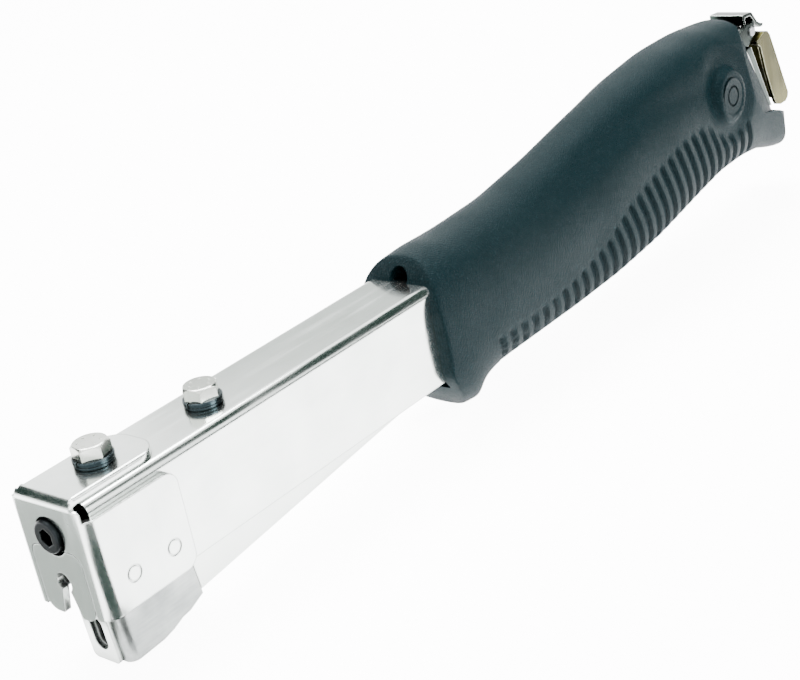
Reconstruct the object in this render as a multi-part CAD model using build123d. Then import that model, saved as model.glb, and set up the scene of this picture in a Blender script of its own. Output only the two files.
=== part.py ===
from build123d import *
import math
import os

# Hammer tacker: a swung stapler. Millimetres, +X from the striking head to the butt, +Z up.
# Each part is drawn from the head's front face (x = 0) and the casing's lower edge (z = 0),
# and everything is moved at the end so that the origin is under the middle of the tool.

# ---- casing, the pressed steel channel that runs from the head through the grip ----
CASING_WIDTH = 22.0
CASING_HEIGHT = 27.3
CASING_WALL = 1.5
CASING_BEND = 2.3
CASING_FRONT = 3.7
CASING_KINK_X = 142.0
CASING_RISE = 0.080
CASING_FLOOR_RISE = 0.072
CASING_REAR = 309.0
HALF = CASING_WIDTH / 2
INNER_HALF = HALF - CASING_WALL
CASING_CEILING = CASING_HEIGHT - CASING_WALL

# ---- head cap, a folded plate over the casing's front end ----
CAP_PLATE = 1.9
CAP_LENGTH = 27.3
CAP_SIDE_BEND = 3.6
CAP_TOP_BEND = 2.4
CAP_WING_TOP = 24.3
CAP_BOTTOM = -0.4
CAP_HALF = HALF + CAP_PLATE
CAP_TOP = CASING_HEIGHT + CAP_PLATE
TAB_HALF = 8.8
TAB_REAR = 28.6
TAB_CORNER = 6.5
WELD_RADIUS = 2.05
TAB_EDGE = 0.8
WELD_SPOTS = [(9.7, 7.2), (21.8, 6.9)]

# ---- front guide, the wear plate let into the cap's front wall ----
GUIDE_HALF = 8.6
GUIDE_TOP = 15.9
GUIDE_BOTTOM = -1.5
GUIDE_FOOT_CORNER = 3.6
GUIDE_TAB_HALF = 7.0
GUIDE_TAB_BACK = 3.4
SEAM = 0.12
SCREW_WINDOW_Z = 19.1
SCREW_WINDOW_RADIUS = 4.6
SCREW_WINDOW_STRETCH = 0.3
KEYHOLE_Z = 7.2
KEYHOLE_RADIUS = 2.5
KEYHOLE_NECK = 1.3
KEYHOLE_FLARE = 3.6

# ---- fasteners ----
BOLT_SIZE = 5.0
BOLT_FLATS = 8.0
BOLT_HEAD = 3.2
BOLT_TURN = [20, 44]
BOLT_X = [16.3, 50.0]
FLAT_WASHER = 0.8
FLAT_WASHER_RADIUS = 4.8
LOCK_WASHER = 1.2
LOCK_WASHER_RADIUS = 4.9
BOLT_REACH = 9.0
SCREW_Z = 19.3
SCREW_HEAD_RADIUS = 4.1
SCREW_HEAD_FRONT = -1.2
SCREW_HEX = 4.0
SCREW_END = 13.0

# ---- pivot of the magazine and its travel ----
PIVOT_X = 275.5
PIVOT_Z = 30.0
PIVOT_PIN_RADIUS = 2.0
STROKE_DEG = 2.88

# ---- nose: drawn with the magazine struck home, then let down by the stroke ----
NOSE_BOTTOM = -2.8
NOSE_HALF = 7.7
NOSE_FRONT = 4.3
NOSE_FRONT_WALL = 1.0
SLOT_THICKNESS = 1.4
SLOT_HALF = 6.5
NOSE_CORNER = 2.6
TONGUE_HALF = 4.6
TONGUE_PLATE = 1.2
TONGUE_TOP = 13.4
TONGUE_HOLE_HALF = 2.2
TONGUE_HOLE_Z = (2.3, 7.0)
TONGUE_RIVETS = [10.9]
TONGUE_RIVET_RADIUS = 1.0

# ---- magazine: drawn along its own axis, then laid at its resting slope ----
MAG_X = 30.1
MAG_Z = -11.4
MAG_SLOPE_DEG = 6.1
MAG_HEIGHT = 12.5
MAG_WALL = 1.2
MAG_BEND = 2.0
MAG_LENGTH = 274.0
RAIL_HALF = 5.6
RAIL_WALL = 1.0
RAIL_FOOT = 1.25
RAIL_TOP = 9.4
RAIL_FRONT = -20.5
RAIL_REAR = 262.0
RAIL_SLOT = 1.3
ROD_RADIUS = 1.5
ROD_HEIGHT = 5.0
ROD_FRONT = -17.0
PUSHER_FRONT = -20.3
PUSHER_LENGTH = 14.0
PUSHER_TOP = 11.0

ROD_REAR = 292.3
SPRING_STOP = 254.0
RETURN_X = 78.0

# ---- driver ----
BLADE_THICKNESS = 0.8
BLADE_HALF = 6.2
BLADE_X = 6.0
BLADE_TOP = 24.6
BLADE_HINGE_Z = 24.0
BLADE_TIP = -2.8

# ---- grip ----
GRIP_FRONT = 121.5
GRIP_REAR = 322.0
REAR_FACE_X = 299.6
REAR_FACE_Z = 37.8
REAR_FACE_LEAN = 0.527
TUNNEL_GAP = 0.1
BOSS_RADIUS = 7.7
BOSS_REACH = 16.7
CAP_DISC_RADIUS = 5.7
CAP_DISC_BACK = 2.5
CAP_DISC_FACE = 5.2
GRIP_RIVET_RADIUS = 2.0
GRIP_RIVETS = [(150.0, 23.6), (232.0, 31.5)]
# rounded end of the butt seen from above, at the height of the rear face's reference point
BUTT_PLAN = [(272.0, 17.5), (282.0, 15.8), (290.0, 13.6), (295.5, 11.0), (301.0, 7.6), (305.5, 3.6)]
BUTT_TIP = 307.2
# the pommel below it: its end seen from above, and its top seen from the side
POMMEL_PLAN = [(280.0, 18.0), (298.0, 16.2), (307.0, 14.8), (313.5, 12.6), (318.6, 8.2)]
POMMEL_TIP = 321.2
POMMEL_TOP = [(240.0, 20.0), (298.0, 17.0), (307.0, 14.9), (313.8, 12.1), (323.0, 9.0)]

# stations along the grip: x, crown, keel, half width
GRIP_STATIONS = [
    (GRIP_FRONT, 33.8, -13.2, 15.0),
    (130.0, 34.4, -14.6, 15.3),
    (139.0, 34.0, -10.6, 15.3),
    (149.0, 34.0, -8.5, 15.3),
    (168.0, 35.0, -8.4, 15.2),
    (190.0, 38.6, -8.3, 15.2),
    (212.0, 43.2, -7.6, 15.8),
    (236.0, 47.8, -5.2, 16.1),
    (258.0, 50.6, -1.2, 16.0),
    (276.0, 51.0, 1.8, 15.8),
    (292.0, 49.9, 2.2, 15.4),
    (306.0, 47.6, 0.8, 14.9),
    (315.0, 44.6, -2.2, 14.6),
    (GRIP_REAR, 41.0, -3.6, 14.0),
]
GRIP_SQUARENESS = 2.5

# ---- butt: bracket, loader yoke and catch ----
CASING_END = [(296.4, 37.0), (305.3, 17.8)]
BRACKET_END = [(302.3, 35.8), (310.7, 16.3)]
BRACKET_FRONT = 286.0
BRACKET_FOOT = 15.2
BRACKET_RIVET_RADIUS = 1.3
BRACKET_RIVETS = [(294.0, 34.2), (300.0, 17.6)]
YOKE_HALF = 9.2
YOKE_PLATE = 1.2
YOKE_SIDE = [(306.2, 37.5), (308.0, 36.3), (310.6, 26.1), (314.3, 15.5), (315.4, 14.0), (317.8, 13.2),
             (321.6, 13.2), (323.2, 14.2), (323.8, 15.7), (319.4, 27.0), (314.8, 38.6), (313.3, 40.3),
             (311.0, 40.6), (306.2, 38.8)]
YOKE_HOLLOW = [(296.0, 5.0), (296.0, 34.0), (311.3, 39.3), (312.5, 39.2), (313.5, 37.9), (318.1, 26.7),
               (322.5, 15.4), (322.5, 5.0)]
CATCH_BAY_X = 295.5
CATCH_PIN_X = 305.0
CATCH_PIN_Z = 42.4
CATCH_PIN_RADIUS = 1.5
CATCH_HALF = 6.3
CATCH_SHEET = 1.2


# ---------------------------------------------------------------- helpers
def upright(points, half_width, middle=0.0):
    """Side outline in (x, z), thickened to half_width each side of y = middle."""
    face = make_face(Plane.XZ * Polyline(*points, close=True))
    return Pos(0, middle, 0) * extrude(face, half_width, both=True)


def slab(x0, x1, y0, y1, z0, z1):
    """Rectangular block between two corners."""
    block = Box(x1 - x0, y1 - y0, z1 - z0)
    return Pos((x0 + x1) / 2, (y0 + y1) / 2, (z0 + z1) / 2) * block


def post(x, y, z0, z1, radius):
    """Upright cylinder from z0 to z1."""
    return Pos(x, y, (z0 + z1) / 2) * Cylinder(radius, z1 - z0)


def bar_x(x0, x1, y, z, radius):
    """Cylinder along X."""
    return Pos((x0 + x1) / 2, y, z) * Rot(0, 90, 0) * Cylinder(radius, x1 - x0)


def bar_y(x, y0, y1, z, radius):
    """Cylinder along Y."""
    return Pos(x, (y0 + y1) / 2, z) * Rot(90, 0, 0) * Cylinder(radius, y1 - y0)


def let_down(part):
    """Turn a nose part from the struck pose to the resting one."""
    return part.rotate(Axis((PIVOT_X, 0, PIVOT_Z), (0, 1, 0)), -STROKE_DEG)


def lay(part):
    """Place a part drawn along the magazine's own axis at its resting slope."""
    return Pos(MAG_X, 0, MAG_Z) * Rot(0, -MAG_SLOPE_DEG, 0) * part


def casing_top(x):
    return CASING_HEIGHT + max(0.0, x - CASING_KINK_X) * CASING_RISE


def casing_floor(x):
    return max(0.0, x - CASING_KINK_X) * CASING_FLOOR_RISE


def behind(line, top=60.0, bottom=-20.0):
    """Everything behind a slanted line given by two points in (x, z)."""
    (x0, z0), (x1, z1) = line
    lean = (x1 - x0) / (z1 - z0)
    return upright([(x0 + (top - z0) * lean, top), (x0 + (bottom - z0) * lean, bottom),
                    (400, bottom), (400, top)], 40)


# ---------------------------------------------------------------- head
def make_casing():
    kink, rear = CASING_KINK_X, CASING_REAR + 20
    outer = upright([(CASING_FRONT, 0), (kink, 0), (rear, casing_floor(rear)),
                     (rear, casing_top(rear)), (kink, CASING_HEIGHT),
                     (CASING_FRONT, CASING_HEIGHT)], HALF)
    top_edges = [e for e in outer.edges()
                 if abs(abs(e.center().Y) - HALF) < 0.01 and e.center().Z > 20
                 and abs(e.tangent_at(0.5).X) > 0.9]
    outer = fillet(top_edges, CASING_BEND)
    inner = upright([(CASING_FRONT - 1, -5), (rear + 1, -5), (rear + 1, casing_top(rear + 1) - CASING_WALL),
                     (kink, CASING_CEILING), (CASING_FRONT - 1, CASING_CEILING)], INNER_HALF)
    channel = outer - inner - behind(CASING_END)
    channel -= slab(CATCH_BAY_X, 340, -INNER_HALF, INNER_HALF, 30, 60)
    for x in BOLT_X:
        channel -= post(x, 0, CASING_CEILING - 2, CASING_HEIGHT + 2, BOLT_SIZE / 2 + 0.2)
    channel -= bar_y(PIVOT_X, -HALF - 1, HALF + 1, PIVOT_Z, PIVOT_PIN_RADIUS + 0.02)
    for x, z in GRIP_RIVETS:
        channel -= bar_y(x, -HALF - 1, HALF + 1, z, GRIP_RIVET_RADIUS + 0.02)
    for x, z in BRACKET_RIVETS:
        channel -= bar_y(x, -HALF - 1, HALF + 1, z, BRACKET_RIVET_RADIUS + 0.02)
    return channel


def window(x0, x1, grow=0.0):
    """Upright oval opening around the front screw."""
    radius = SCREW_WINDOW_RADIUS + grow
    upper = bar_x(x0, x1, 0, SCREW_WINDOW_Z + SCREW_WINDOW_STRETCH, radius)
    lower = bar_x(x0, x1, 0, SCREW_WINDOW_Z - SCREW_WINDOW_STRETCH, radius)
    middle = slab(x0, x1, -radius, radius, SCREW_WINDOW_Z - SCREW_WINDOW_STRETCH,
                  SCREW_WINDOW_Z + SCREW_WINDOW_STRETCH)
    return upper + lower + middle


def guide_outline(grow, x0, x1):
    """Front guide's outline: square shoulders with a rounded top, convex foot."""
    half = GUIDE_HALF + grow
    body = slab(x0, x1, -half, half, -8, GUIDE_TOP + grow)
    corners = body.edges().filter_by(Axis.X).group_by(Axis.Z)[-1]
    return fillet(corners, 3.0)


def make_head_cap():
    outer = slab(0, CAP_LENGTH, -CAP_HALF, CAP_HALF, CAP_BOTTOM, CAP_TOP)
    folds = outer.edges().filter_by(Axis.Z).group_by(Axis.X)[0]
    outer = fillet(folds, CAP_SIDE_BEND)
    inner = slab(CAP_PLATE, CAP_LENGTH + 5, -HALF, HALF, CAP_BOTTOM - 5, CASING_HEIGHT)
    folds = inner.edges().filter_by(Axis.Z).group_by(Axis.X)[0]
    inner = fillet(folds, CAP_SIDE_BEND - CAP_PLATE)
    cap = outer - inner
    # the tab on top is narrower than the head, and longer
    cap += slab(4, TAB_REAR, -TAB_HALF, TAB_HALF, CASING_HEIGHT, CAP_TOP)
    for side in (-1, 1):
        y0, y1 = sorted((side * TAB_HALF, side * (CAP_HALF + 1)))
        cap -= slab(CAP_PLATE - 0.9, 60, y0, y1, CAP_WING_TOP, CAP_TOP + 1)
    cap = cap - front_corner_trim()
    cap -= tab_end_trim()
    cap -= tab_edge_trim()
    cap -= wing_trim()
    # rolled edge where the front wall turns into the tab
    roll = slab(-1, CAP_TOP_BEND, -TAB_HALF - 8, TAB_HALF + 8, CAP_TOP - CAP_TOP_BEND, CAP_TOP + 1)
    cap -= roll - bar_y(CAP_TOP_BEND, -40, 40, CAP_TOP - CAP_TOP_BEND, CAP_TOP_BEND)
    cap -= guide_outline(SEAM, -1, CAP_PLATE + 1)
    cap -= window(-1, CAP_PLATE + 1)
    cap -= post(BOLT_X[0], 0, CASING_HEIGHT - 1, CAP_TOP + 1, BOLT_SIZE / 2 + 0.2)
    for x, z in WELD_SPOTS:
        for side in (-1, 1):
            ring = bar_y(x, side * CAP_HALF - 0.18, side * CAP_HALF + 0.18, z, WELD_RADIUS)
            ring -= bar_y(x, side * CAP_HALF - 1, side * CAP_HALF + 1, z, WELD_RADIUS - 0.35)
            cap -= ring
    return cap


def front_corner_trim():
    """Rounds the front wall's two upper corners, seen from the front."""
    radius = 3.4
    trim = None
    for side in (-1, 1):
        y0, y1 = sorted((side * (CAP_HALF - radius), side * (CAP_HALF + 1)))
        corner = slab(-1, CAP_PLATE + 0.1, y0, y1, CASING_HEIGHT - radius, CAP_TOP + 1)
        corner -= bar_x(-2, CAP_PLATE + 2, side * (CAP_HALF - radius), CASING_HEIGHT - radius, radius)
        trim = corner if trim is None else trim + corner
    return trim


def tab_end_trim():
    """Rounds the tab's rear corners, seen from above."""
    trim = None
    for side in (-1, 1):
        y0, y1 = sorted((side * (TAB_HALF - TAB_CORNER), side * (TAB_HALF + 1)))
        corner = slab(TAB_REAR - TAB_CORNER, TAB_REAR + 1, y0, y1, CASING_HEIGHT - 0.01, CAP_TOP + 1)
        corner -= post(TAB_REAR - TAB_CORNER, side * (TAB_HALF - TAB_CORNER), 20, 40, TAB_CORNER)
        trim = corner if trim is None else trim + corner
    return trim


def tab_edge_trim():
    """Rolls the tab's two long upper edges."""
    trim = None
    for side in (-1, 1):
        y0, y1 = sorted((side * (TAB_HALF - TAB_EDGE), side * (TAB_HALF + 1)))
        edge = slab(CAP_TOP_BEND, TAB_REAR + 1, y0, y1, CAP_TOP - TAB_EDGE, CAP_TOP + 1)
        edge -= bar_x(CAP_TOP_BEND - 1, TAB_REAR + 2, side * (TAB_HALF - TAB_EDGE), CAP_TOP - TAB_EDGE, TAB_EDGE)
        trim = edge if trim is None else trim + edge
    return trim


def wing_trim():
    """Rounds the side wings' rear corners, seen from the side."""
    radius = 3.4
    trim = None
    for z, out in ((CAP_WING_TOP - radius, 1), (CAP_BOTTOM + radius, -1)):
        z0, z1 = sorted((z, z + out * (radius + 1)))
        corner = slab(CAP_LENGTH - radius, CAP_LENGTH + 1, -30, 30, z0, z1)
        corner -= bar_y(CAP_LENGTH - radius, -31, 31, z, radius)
        trim = corner if trim is None else trim + corner
    return trim


def make_front_guide():
    guide = guide_outline(0, 0, CAP_PLATE)
    foot = slab(-1, CAP_PLATE + 1, -20, 20, -9, GUIDE_BOTTOM)
    guide -= foot
    corners = guide.edges().filter_by(Axis.X).group_by(Axis.Z)[0]
    guide = fillet(corners, GUIDE_FOOT_CORNER)
    guide -= window(-1, CAP_PLATE + 1)
    # tongue behind the cap's wall, clamped by the front screw
    back = slab(CAP_PLATE, GUIDE_TAB_BACK, -GUIDE_TAB_HALF, GUIDE_TAB_HALF, GUIDE_TOP - 1.6, 25.0)
    back -= bar_x(0, 10, 0, SCREW_Z, BOLT_SIZE / 2 + 0.3)
    guide += back
    # keyhole, flared towards the foot
    guide -= bar_x(-1, CAP_PLATE + 1, 0, KEYHOLE_Z, KEYHOLE_RADIUS)
    flare = Polyline((-KEYHOLE_NECK, KEYHOLE_Z - 1.5), (KEYHOLE_NECK, KEYHOLE_Z - 1.5),
                     (KEYHOLE_FLARE, GUIDE_BOTTOM - 1), (-KEYHOLE_FLARE, GUIDE_BOTTOM - 1), close=True)
    guide -= extrude(Plane.YZ * make_face(flare), 6, both=True)
    return guide


def make_front_screw():
    head = bar_x(SCREW_HEAD_FRONT, CAP_PLATE, 0, SCREW_Z, SCREW_HEAD_RADIUS)
    rim = head.faces().sort_by(Axis.X)[0].edges()
    head = fillet(rim, 0.5)
    socket = RegularPolygon(SCREW_HEX / 2, 6, major_radius=False)
    head -= Pos(SCREW_HEAD_FRONT - 1, 0, SCREW_Z) * Rot(0, 90, 0) * extrude(socket, 3.4)
    shank = bar_x(CAP_PLATE - 0.01, SCREW_END, 0, SCREW_Z, BOLT_SIZE / 2)
    return head + shank


def make_driver_block():
    block = slab(7.3, 27.0, -9.3, 9.3, 14.4, CASING_CEILING - 0.05)
    block -= bar_x(6, SCREW_END + 0.3, 0, SCREW_Z, BOLT_SIZE / 2 + 0.03)
    block -= post(BOLT_X[0], 0, 10, 30, BOLT_SIZE / 2 + 0.03)
    lower = block.edges().filter_by(Axis.Y).group_by(Axis.Z)[0]
    return chamfer(lower, 0.8)


def make_blade():
    """Driver plate that hangs behind the cap, around the front screw."""
    plate = slab(BLADE_X - BLADE_THICKNESS / 2, BLADE_X + BLADE_THICKNESS / 2,
                 -BLADE_HALF, BLADE_HALF, BLADE_TIP, BLADE_TOP)
    plate -= bar_x(0, 12, 0, SCREW_Z, BOLT_SIZE / 2 + 0.9)
    return plate.rotate(Axis((BLADE_X, 0, BLADE_HINGE_Z), (0, 1, 0)), -STROKE_DEG)


# ---------------------------------------------------------------- top bolts
def seat_height(index):
    return CAP_TOP if index == 0 else CASING_HEIGHT


def make_bolt(index):
    x = BOLT_X[index]
    base = seat_height(index) + FLAT_WASHER + LOCK_WASHER
    hexagon = RegularPolygon(BOLT_FLATS / 2, 6, major_radius=False, rotation=BOLT_TURN[index])
    head = Pos(x, 0, base) * extrude(hexagon, BOLT_HEAD)
    dome = post(x, 0, base, base + BOLT_HEAD, BOLT_FLATS / 2 + 0.62)
    dome = chamfer(dome.faces().sort_by(Axis.Z)[-1].edges(), 0.7)
    head = head & dome
    shank = post(x, 0, CASING_CEILING - BOLT_REACH, base + 0.01, BOLT_SIZE / 2)
    bolt = head + shank
    for step in range(6):
        angle = math.radians(60 * step + BOLT_TURN[index])
        dot_x = x + 2.6 * math.cos(angle)
        bolt += post(dot_x, 2.6 * math.sin(angle), base + BOLT_HEAD - 0.1, base + BOLT_HEAD + 0.15, 0.3)
    return bolt


def make_washer(index, lock):
    x = BOLT_X[index]
    z0 = seat_height(index) + (FLAT_WASHER if lock else 0.0)
    thickness = LOCK_WASHER if lock else FLAT_WASHER
    radius = LOCK_WASHER_RADIUS if lock else FLAT_WASHER_RADIUS
    ring = post(x, 0, z0, z0 + thickness, radius)
    ring = fillet(ring.edges().filter_by(GeomType.CIRCLE), 0.25)
    ring -= post(x, 0, z0 - 1, z0 + thickness + 1, BOLT_SIZE / 2 + 0.05)
    if lock:
        ring -= slab(x - 8, x, -0.35, 0.35, z0 - 1, z0 + 3)
    return ring


def make_anchor_nut():
    """Square nut that the rear bolt draws up under the casing's top."""
    x = BOLT_X[1]
    nut = slab(x - 6, x + 6, -8.5, 8.5, CASING_CEILING - 5.0, CASING_CEILING - 0.05)
    return nut - post(x, 0, 10, 30, BOLT_SIZE / 2 + 0.03)


def make_buffer():
    """Rubber pad that the magazine meets at the end of a blow."""
    x = BOLT_X[1]
    top = CASING_CEILING - 5.05
    pad = slab(x - 5.5, x + 5.5, -7.0, 7.0, 15.6, top)
    pad = fillet(pad.edges().filter_by(Axis.Z), 1.5)
    return pad - post(x, 0, 12, 30, BOLT_SIZE / 2 + 0.2)


# ---------------------------------------------------------------- nose
def make_nose_shoe():
    side = [(NOSE_FRONT, NOSE_BOTTOM), (14.2, NOSE_BOTTOM), (17.6, NOSE_BOTTOM + 0.6),
            (20.9, -1.1), (23.4, -0.9), (28.2, 0.82), (27.5, 13.2), (NOSE_FRONT, 12.4)]
    block = upright(side, NOSE_HALF)
    front_edges = [e for e in block.edges().filter_by(Axis.Z) if e.center().X < NOSE_FRONT + 0.1]
    block = fillet(front_edges, NOSE_CORNER)
    slot_front = NOSE_FRONT + NOSE_FRONT_WALL
    slot_back = slot_front + SLOT_THICKNESS
    hollow = [(slot_front, -9), (slot_back, -9), (slot_back, 0.7), (30, 1.95),
              (30, 25), (slot_front, 25)]
    block -= upright(hollow, SLOT_HALF)
    block -= obround(NOSE_FRONT - 1, slot_front + 0.2, TONGUE_HOLE_HALF - 0.3, *TONGUE_HOLE_Z)
    for z in TONGUE_RIVETS:
        block -= bar_x(NOSE_FRONT - 1, slot_front + 0.2, 0, z, TONGUE_RIVET_RADIUS)
    return let_down(block)


def obround(x0, x1, half, z0, z1):
    """Slot along X: two round ends joined by straight sides."""
    hole = slab(x0, x1, -half, half, z0, z1)
    for z in (z0, z1):
        hole += bar_x(x0, x1, 0, z, half)
    return hole


def make_nose_tongue():
    x1 = NOSE_FRONT
    x0 = x1 - TONGUE_PLATE
    plate = slab(x0, x1, -TONGUE_HALF, TONGUE_HALF, NOSE_BOTTOM - 0.3, TONGUE_TOP)
    low = plate.edges().filter_by(Axis.X).group_by(Axis.Z)[0]
    plate = fillet(low, 1.4)
    plate -= obround(x0 - 1, x1 + 1, TONGUE_HOLE_HALF, *TONGUE_HOLE_Z)
    for z in TONGUE_RIVETS:
        plate -= bar_x(x0 - 1, x1 + 1, 0, z, TONGUE_RIVET_RADIUS)
    return let_down(plate)


def make_tongue_rivets():
    rivets = []
    for z in TONGUE_RIVETS:
        rivets.append(let_down(bar_x(NOSE_FRONT - TONGUE_PLATE, NOSE_FRONT + NOSE_FRONT_WALL, 0, z,
                                     TONGUE_RIVET_RADIUS - 0.01)))
    return rivets


# ---------------------------------------------------------------- magazine
def make_magazine_channel():
    outer = slab(0, MAG_LENGTH, -NOSE_HALF, NOSE_HALF, 0, MAG_HEIGHT)
    low = outer.edges().filter_by(Axis.X).group_by(Axis.Z)[0]
    outer = fillet(low, MAG_BEND)
    inner_half = NOSE_HALF - MAG_WALL
    inner = slab(-1, MAG_LENGTH + 1, -inner_half, inner_half, MAG_WALL, MAG_HEIGHT + 9)
    low = inner.edges().filter_by(Axis.X).group_by(Axis.Z)[0]
    inner = fillet(low, MAG_BEND - MAG_WALL)
    channel = outer - inner
    pivot_u, pivot_w = pivot_in_magazine()
    for side in (-1, 1):
        middle = side * (NOSE_HALF - MAG_WALL / 2)
        ear = upright([(pivot_u - 9, MAG_HEIGHT - 0.5), (pivot_u + 9, MAG_HEIGHT - 0.5),
                       (pivot_u + 3.5, pivot_w + 3.5), (pivot_u - 3.5, pivot_w + 3.5)],
                      MAG_WALL / 2, middle)
        channel += ear
    channel -= bar_y(pivot_u, -20, 20, pivot_w, PIVOT_PIN_RADIUS + 0.05)
    return lay(channel)


def pivot_in_magazine():
    """Pivot's place along and above the magazine's own axis."""
    slope = math.radians(MAG_SLOPE_DEG)
    dx, dz = PIVOT_X - MAG_X, PIVOT_Z - MAG_Z
    along = dx * math.cos(slope) + dz * math.sin(slope)
    above = dz * math.cos(slope) - dx * math.sin(slope)
    return along, above


def make_staple_rail():
    outer = slab(RAIL_FRONT, RAIL_REAR, -RAIL_HALF, RAIL_HALF, RAIL_FOOT, RAIL_TOP)
    top = outer.edges().filter_by(Axis.X).group_by(Axis.Z)[-1]
    outer = fillet(top, 0.6)
    inner_half = RAIL_HALF - RAIL_WALL
    rail = outer - slab(RAIL_FRONT + 1, RAIL_REAR + 1, -inner_half, inner_half, 0, RAIL_TOP - RAIL_WALL)
    rail -= slab(RAIL_FRONT + 1, RAIL_REAR + 1, -RAIL_SLOT, RAIL_SLOT, 0, RAIL_TOP + 1)
    return lay(rail)


def make_pusher():
    x0, x1 = PUSHER_FRONT, PUSHER_FRONT + PUSHER_LENGTH
    saddle = slab(x0, x1, -6.3, 6.3, 2.0, PUSHER_TOP)
    top = saddle.edges().filter_by(Axis.X).group_by(Axis.Z)[-1]
    saddle = fillet(top, 0.8)
    saddle -= slab(x0 - 1, x1 + 1, -RAIL_HALF - 0.15, RAIL_HALF + 0.15, 0, RAIL_TOP + 0.15)
    web = slab(x0 + 1.2, x1, -RAIL_SLOT + 0.15, RAIL_SLOT - 0.15, 6, RAIL_TOP + 0.3)
    runner = slab(x0 + 1.2, x1, -RAIL_HALF + RAIL_WALL + 0.2, RAIL_HALF - RAIL_WALL - 0.2,
                  2.0, RAIL_TOP - RAIL_WALL - 0.2)
    pusher = saddle + web + runner
    pusher -= bar_x(x0 - 1, x1 + 1, 0, ROD_HEIGHT, ROD_RADIUS + 0.05)
    return lay(pusher)


def helix_x(x0, x1, radius, wire, turns, height):
    """Compression spring along X, centred at the given height."""
    length = x1 - x0 - wire
    path = Helix(pitch=length / turns, height=length, radius=radius)
    section = Plane(origin=path @ 0, z_dir=path % 0) * Circle(wire / 2)
    coil = sweep(section, path=path)
    return Pos(x0 + wire / 2, 0, height) * Rot(0, 90, 0) * coil


def make_pusher_spring():
    x0 = PUSHER_FRONT + PUSHER_LENGTH + 0.1
    return lay(helix_x(x0, SPRING_STOP, 2.45, 0.7, 30, ROD_HEIGHT))


def make_guide_rod():
    end = ROD_REAR
    rod = bar_x(ROD_FRONT, end, 0, ROD_HEIGHT, ROD_RADIUS)
    collar = bar_x(SPRING_STOP + 0.05, SPRING_STOP + 3.0, 0, ROD_HEIGHT, 3.0)
    return lay(rod + collar)


def make_return_spring():
    """Compression spring that holds the nose down, between casing and magazine."""
    x, wire, radius = RETURN_X, 1.2, 4.4
    slope = math.tan(math.radians(MAG_SLOPE_DEG))
    low = MAG_Z + (x - MAG_X) * slope + MAG_HEIGHT / math.cos(math.radians(MAG_SLOPE_DEG)) + 1.9
    high = CASING_CEILING - 0.9
    length = high - low - wire
    path = Helix(pitch=length / 6, height=length, radius=radius)
    section = Plane(origin=path @ 0, z_dir=path % 0) * Circle(wire / 2)
    return Pos(x, 0, low + wire / 2) * sweep(section, path=path)


def make_spring_perch():
    """Bridge across the magazine's open top that carries the return spring."""
    middle = (RETURN_X - MAG_X) / math.cos(math.radians(MAG_SLOPE_DEG)) + 1.3
    bridge = slab(middle - 7, middle + 7, -NOSE_HALF, NOSE_HALF, MAG_HEIGHT + 0.02, MAG_HEIGHT + 1.2)
    bridge += post(middle, 0, MAG_HEIGHT + 0.5, MAG_HEIGHT + 3.4, 3.4)
    return lay(bridge)


def make_spring_cup():
    """Pressed cup under the casing's top that centres the return spring."""
    cup = post(RETURN_X, 0, CASING_CEILING - 3.2, CASING_CEILING - 0.05, 6.6)
    cup -= post(RETURN_X, 0, CASING_CEILING - 5, CASING_CEILING - 0.85, 5.6)
    return cup


# ---------------------------------------------------------------- grip
def grip_section(x, crown, keel, half_width):
    """Closed oval, squarer than an ellipse, in the plane across the grip."""
    middle, half_height = (crown + keel) / 2, (crown - keel) / 2
    power = 2 / GRIP_SQUARENESS
    points = []
    for step in range(24):
        angle = 2 * math.pi * step / 24
        c, s = math.cos(angle), math.sin(angle)
        y = half_width * math.copysign(abs(c) ** power, c)
        z = middle + half_height * math.copysign(abs(s) ** power, s)
        points.append((y, z))
    outline = Spline(*points, periodic=True)
    return Plane(origin=(x, 0, 0), x_dir=(0, 1, 0), z_dir=(1, 0, 0)) * make_face(outline)


def make_tunnel():
    """Passage through the grip for the casing and the magazine."""
    kink, rear = CASING_KINK_X, 345.0
    gap = TUNNEL_GAP
    tunnel = upright([(100, -3.2), (kink + 4, -3.2), (kink + 22, casing_floor(kink + 22) - 1.2),
                      (rear, casing_floor(rear) - 1.2),
                      (rear, casing_top(rear) + gap), (kink, CASING_HEIGHT + gap),
                      (100, CASING_HEIGHT + gap)], HALF + gap)
    return tunnel


def plan_curve(half, tip):
    """Face in (x, y): a rounded end through half's points, their mirror images and the tip."""
    curve = Spline(*half, (tip, 0.0), *[(x, -y) for x, y in reversed(half)])
    x0, y0 = half[0]
    back = Polyline((x0, -y0), (200, -y0), (200, y0), (x0, y0))
    return make_face(curve + back)


def butt_trim():
    """Everything outside the butt's rounded outline, above the pommel."""
    outline = Pos(0, 0, REAR_FACE_Z) * plan_curve(BUTT_PLAN, BUTT_TIP)
    slope = Vector(-REAR_FACE_LEAN, 0, 1)
    rise = 40 * slope.length
    kept = extrude(outline, rise, dir=slope) + extrude(outline, rise, dir=-slope)
    return upright(POMMEL_TOP + [(360.0, 9.0), (360.0, 90.0), (240.0, 90.0)], 40) - kept


def pommel_trim():
    """Everything outside the pommel's rounded end."""
    kept = Pos(0, 0, -30) * extrude(plan_curve(POMMEL_PLAN, POMMEL_TIP), 100)
    return slab(280, 360, -40, 40, -30, 70) - kept


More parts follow.
